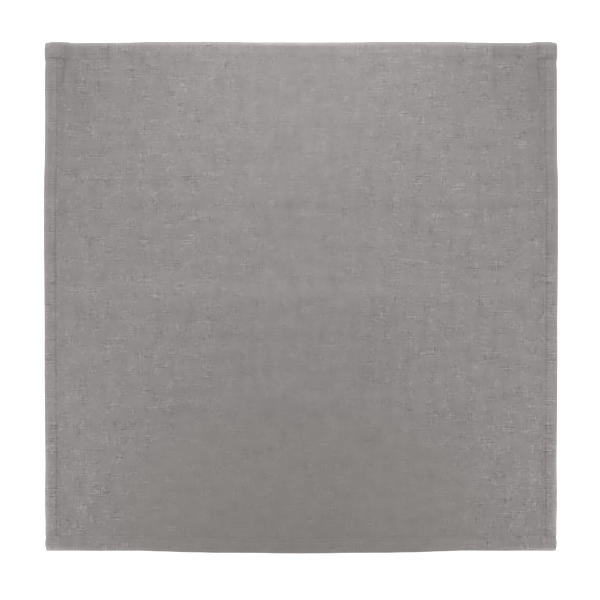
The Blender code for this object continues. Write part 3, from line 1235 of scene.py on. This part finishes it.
def tubes(paths, sideways, sizes):
    """Many short threads at once: a flattened round section carried along each path, thinner
    towards its ends, and closed there by a fan of four-sided faces."""
    count, rings, _ = paths.shape
    sides = THREAD_SIDES
    angle = np.arange(sides) * 2 * np.pi / sides
    taper = np.sqrt(1 - THREAD_TAPER * np.linspace(-1, 1, rings) ** 6)
    across = 0.5 * sizes.thread_width * np.cos(angle)
    upward = 0.5 * sizes.thread_width * THREAD_FLATNESS * np.sin(angle)
    ring = sideways[:, None, None, :] * across[None, None, :, None] * taper[None, :, None, None]
    rise = np.array([0.0, 0.0, 1.0]) * upward[None, None, :, None] * taper[None, :, None, None]
    points = (paths[:, :, None, :] + ring + rise).reshape(-1, 3)
    numbers = np.arange(count * rings * sides).reshape(count, rings, sides)
    closed = np.concatenate([numbers, numbers[..., :1]], axis=-1)
    per_row = int(np.ceil(np.sqrt(count)))
    column = np.arange(count) % per_row
    row = np.arange(count) // per_row
    cell = 1 / per_row
    local = fitted((0.06, 0.06), (0.94, 0.72), rings, sides + 1)
    corner = np.stack([column, row], axis=-1)[:, None, None, :]
    bake = (corner + local[None]) * cell
    length = np.linalg.norm(paths - paths[:, :1], axis=-1)
    around = np.linspace(0, 1, sides + 1)
    thread = np.stack(np.broadcast_arrays(length[..., None], around[None, None, :]), axis=-1)

    # The two round ends, each as a row of faces between facing corners
    half = sides // 2
    end_faces, end_bake, end_thread = [], [], []
    for place, ring_number in enumerate((0, rings - 1)):
        left = numbers[:, ring_number, : half + 1]
        right = np.concatenate(
            [numbers[:, ring_number, :1], numbers[:, ring_number, : half - 1 : -1]], axis=1
        )
        strip = np.stack([left[:, 1:half], right[:, 1:half]], axis=1)
        if place:
            strip = strip[:, ::-1]
        end_faces.append(strip)
        box = fitted((0.06 + 0.5 * place, 0.78), (0.4 + 0.5 * place, 0.94), 2, half - 1)
        end_bake.append((corner + box[None]) * cell)
        end_thread.append(np.broadcast_to(box[None] * MM, end_bake[-1].shape))
    faces = [cells(closed)] + [cells(strip) for strip in end_faces]
    maps = {
        "OFBake": [cell_map(bake)] + [cell_map(values) for values in end_bake],
        "thread": [cell_map(thread)] + [cell_map(values) for values in end_thread],
    }
    return points, np.concatenate(faces), {k: np.concatenate(v) for k, v in maps.items()}


class NAPKIN_OT_stage(bpy.types.Operator):
    """Sets up the pale floor, the soft lights and the camera straight above"""

    bl_idname = "napkin.stage"
    bl_label = "Stage"

    def execute(self, context):
        make_floor(context.scene.napkin_colours)
        make_lights()
        make_camera()
        return {"FINISHED"}


def make_floor(colours):
    """A wide flat square just under the cloth, pale and faintly glowing, so that it stays white. The
    glow is stronger away from the cloth, where the lights don't reach."""
    mesh = bpy.data.meshes.new("floor")
    turns = ((-1, -1), (1, -1), (1, 1), (-1, 1))
    corners = [(FLOOR_REACH * x, FLOOR_REACH * y, -FLOOR_DEPTH) for x, y in turns]
    mesh.from_pydata(corners, [], [(0, 1, 2, 3)])
    pale = Shader("pale_floor")
    place = pale.node("ShaderNodeTexCoord").outputs["Object"]
    grain = pale.noise(place, 40.0, 3.0)
    tone = pale.math("MULTIPLY_ADD", grain, 0.02, 0.98)
    away = pale.node("ShaderNodeVectorMath", {0: place}, operation="LENGTH").outputs["Value"]
    away = pale.spread(away, FLOOR_GLOW_FROM, FLOOR_GLOW_TO)
    pale.set(
        Base_Color=pale.scaled_colour((*colours.floor, 1.0), tone),
        Roughness=0.9,
        Emission_Color=(1.0, 1.0, 1.0, 1.0),
        Emission_Strength=pale.math("MULTIPLY_ADD", away, FLOOR_GLOW_MORE, FLOOR_GLOW),
    )
    mesh.materials.append(pale.material)
    floor = bpy.data.objects.new("floor", mesh)
    bpy.context.scene.collection.objects.link(floor)


# The pale floor: how far it reaches, how deep it lies under the cloth, how strongly it glows there,
# and how much more from how far away, in metres, to how far
FLOOR_REACH = 4.0
FLOOR_DEPTH = 0.05 * MM
FLOOR_GLOW = 0.5
FLOOR_GLOW_MORE = 0.45
FLOOR_GLOW_FROM = 0.3
FLOOR_GLOW_TO = 0.9

# Soft lights: where each one hangs, what it is aimed at, its sides, power and colour
SOFT_LIGHTS = [
    # name, place, aim, width, height, watts, colour
    ("key_light", (0.0, 0.35, 0.36), (0.0, 0.0, 0.0), 0.48, 0.16, 1.73, (1.0, 0.995, 0.995)),
    ("left_light", (-0.5, -0.19, 0.34), (0.0, -0.1, 0.0), 0.3, 0.2, 1.64, (1.0, 0.99, 0.98)),
    ("right_light", (0.5, -0.19, 0.34), (0.0, -0.1, 0.0), 0.3, 0.2, 1.64, (1.0, 0.99, 0.98)),
    ("top_light", (0.0, 0.64, 1.9), (0.0, 0.0, 0.0), 0.7, 0.7, 1.4, (1.0, 0.995, 0.99)),
]
WORLD_COLOUR = (1.0, 0.995, 0.985, 1.0)
WORLD_STRENGTH = 0.1


def make_lights():
    """Hangs each soft light, turned to its aim, and fills the rest with a faint even light."""
    for name, place, aim, width, height, watts, colour in SOFT_LIGHTS:
        light = bpy.data.lights.new(name, "AREA")
        light.shape = "RECTANGLE"
        light.size = width
        light.size_y = height
        light.energy = watts
        light.color = colour
        lamp = bpy.data.objects.new(name, light)
        lamp.location = place
        lamp.rotation_euler = (Vector(aim) - Vector(place)).to_track_quat("-Z", "Y").to_euler()
        bpy.context.scene.collection.objects.link(lamp)
    world = bpy.data.worlds.new("soft_room")
    world.use_nodes = True
    background = world.node_tree.nodes["Background"]
    background.inputs["Color"].default_value = WORLD_COLOUR
    background.inputs["Strength"].default_value = WORLD_STRENGTH
    bpy.context.scene.world = world
    bpy.context.scene.view_settings.view_transform = "Standard"


# The camera hangs straight above. The photo's frame is 600 pixels, the cloth spans 514.5 of
# them, and its middle lies 1 pixel right of the frame's middle and 2.55 pixels above it.
FRAME_PIXELS = 600
CLOTH_PIXELS = 514.5
MIDDLE_RIGHT = 1.0
MIDDLE_ABOVE = 2.55

# The camera's lens and the width of its sensor, in millimetres, and how far it sees, in metres
LENS = 100.0
SENSOR = 36.0
SIGHT = 50.0


def make_camera():
    """Hangs the camera so high that one of the photo's pixels is as wide on the cloth as there."""
    pixel = 2 * HALF_WIDTH / CLOTH_PIXELS
    data = bpy.data.cameras.new("camera")
    data.lens = LENS
    data.sensor_width = SENSOR
    data.clip_end = SIGHT
    camera = bpy.data.objects.new("camera", data)
    height = FRAME_PIXELS * pixel * LENS / SENSOR
    camera.location = (-MIDDLE_RIGHT * pixel, -MIDDLE_ABOVE * pixel, height + NODE_HIGH.z / 2)
    bpy.context.scene.collection.objects.link(camera)
    bpy.context.scene.camera = camera


class NAPKIN_PT_panel(bpy.types.Panel):
    """The napkin's sizes, colours and building steps"""

    bl_label = "Napkin"
    bl_idname = "NAPKIN_PT_panel"
    bl_space_type = "VIEW_3D"
    bl_region_type = "UI"
    bl_category = "Napkin"

    def draw(self, context):
        for group in (context.scene.napkin_sizes, context.scene.napkin_colours):
            box = self.layout.box()
            for name in group.__annotations__:
                box.prop(group, name)
        for step in STEPS:
            self.layout.operator(step.bl_idname)


STEPS = (NAPKIN_OT_cloth, NAPKIN_OT_hems, NAPKIN_OT_stitches, NAPKIN_OT_stage)
CLASSES = (NapkinSizes, NapkinColours, *STEPS, NAPKIN_PT_panel)


def register():
    for each in CLASSES:
        bpy.utils.register_class(each)
    bpy.types.Scene.napkin_sizes = PointerProperty(type=NapkinSizes)
    bpy.types.Scene.napkin_colours = PointerProperty(type=NapkinColours)


def unregister():
    del bpy.types.Scene.napkin_colours
    del bpy.types.Scene.napkin_sizes
    for each in reversed(CLASSES):
        bpy.utils.unregister_class(each)


def main():
    register()
    bpy.ops.napkin.cloth()
    bpy.ops.napkin.hems()
    bpy.ops.napkin.stitches()
    bpy.ops.napkin.stage()


if __name__ == "__main__":
    main()
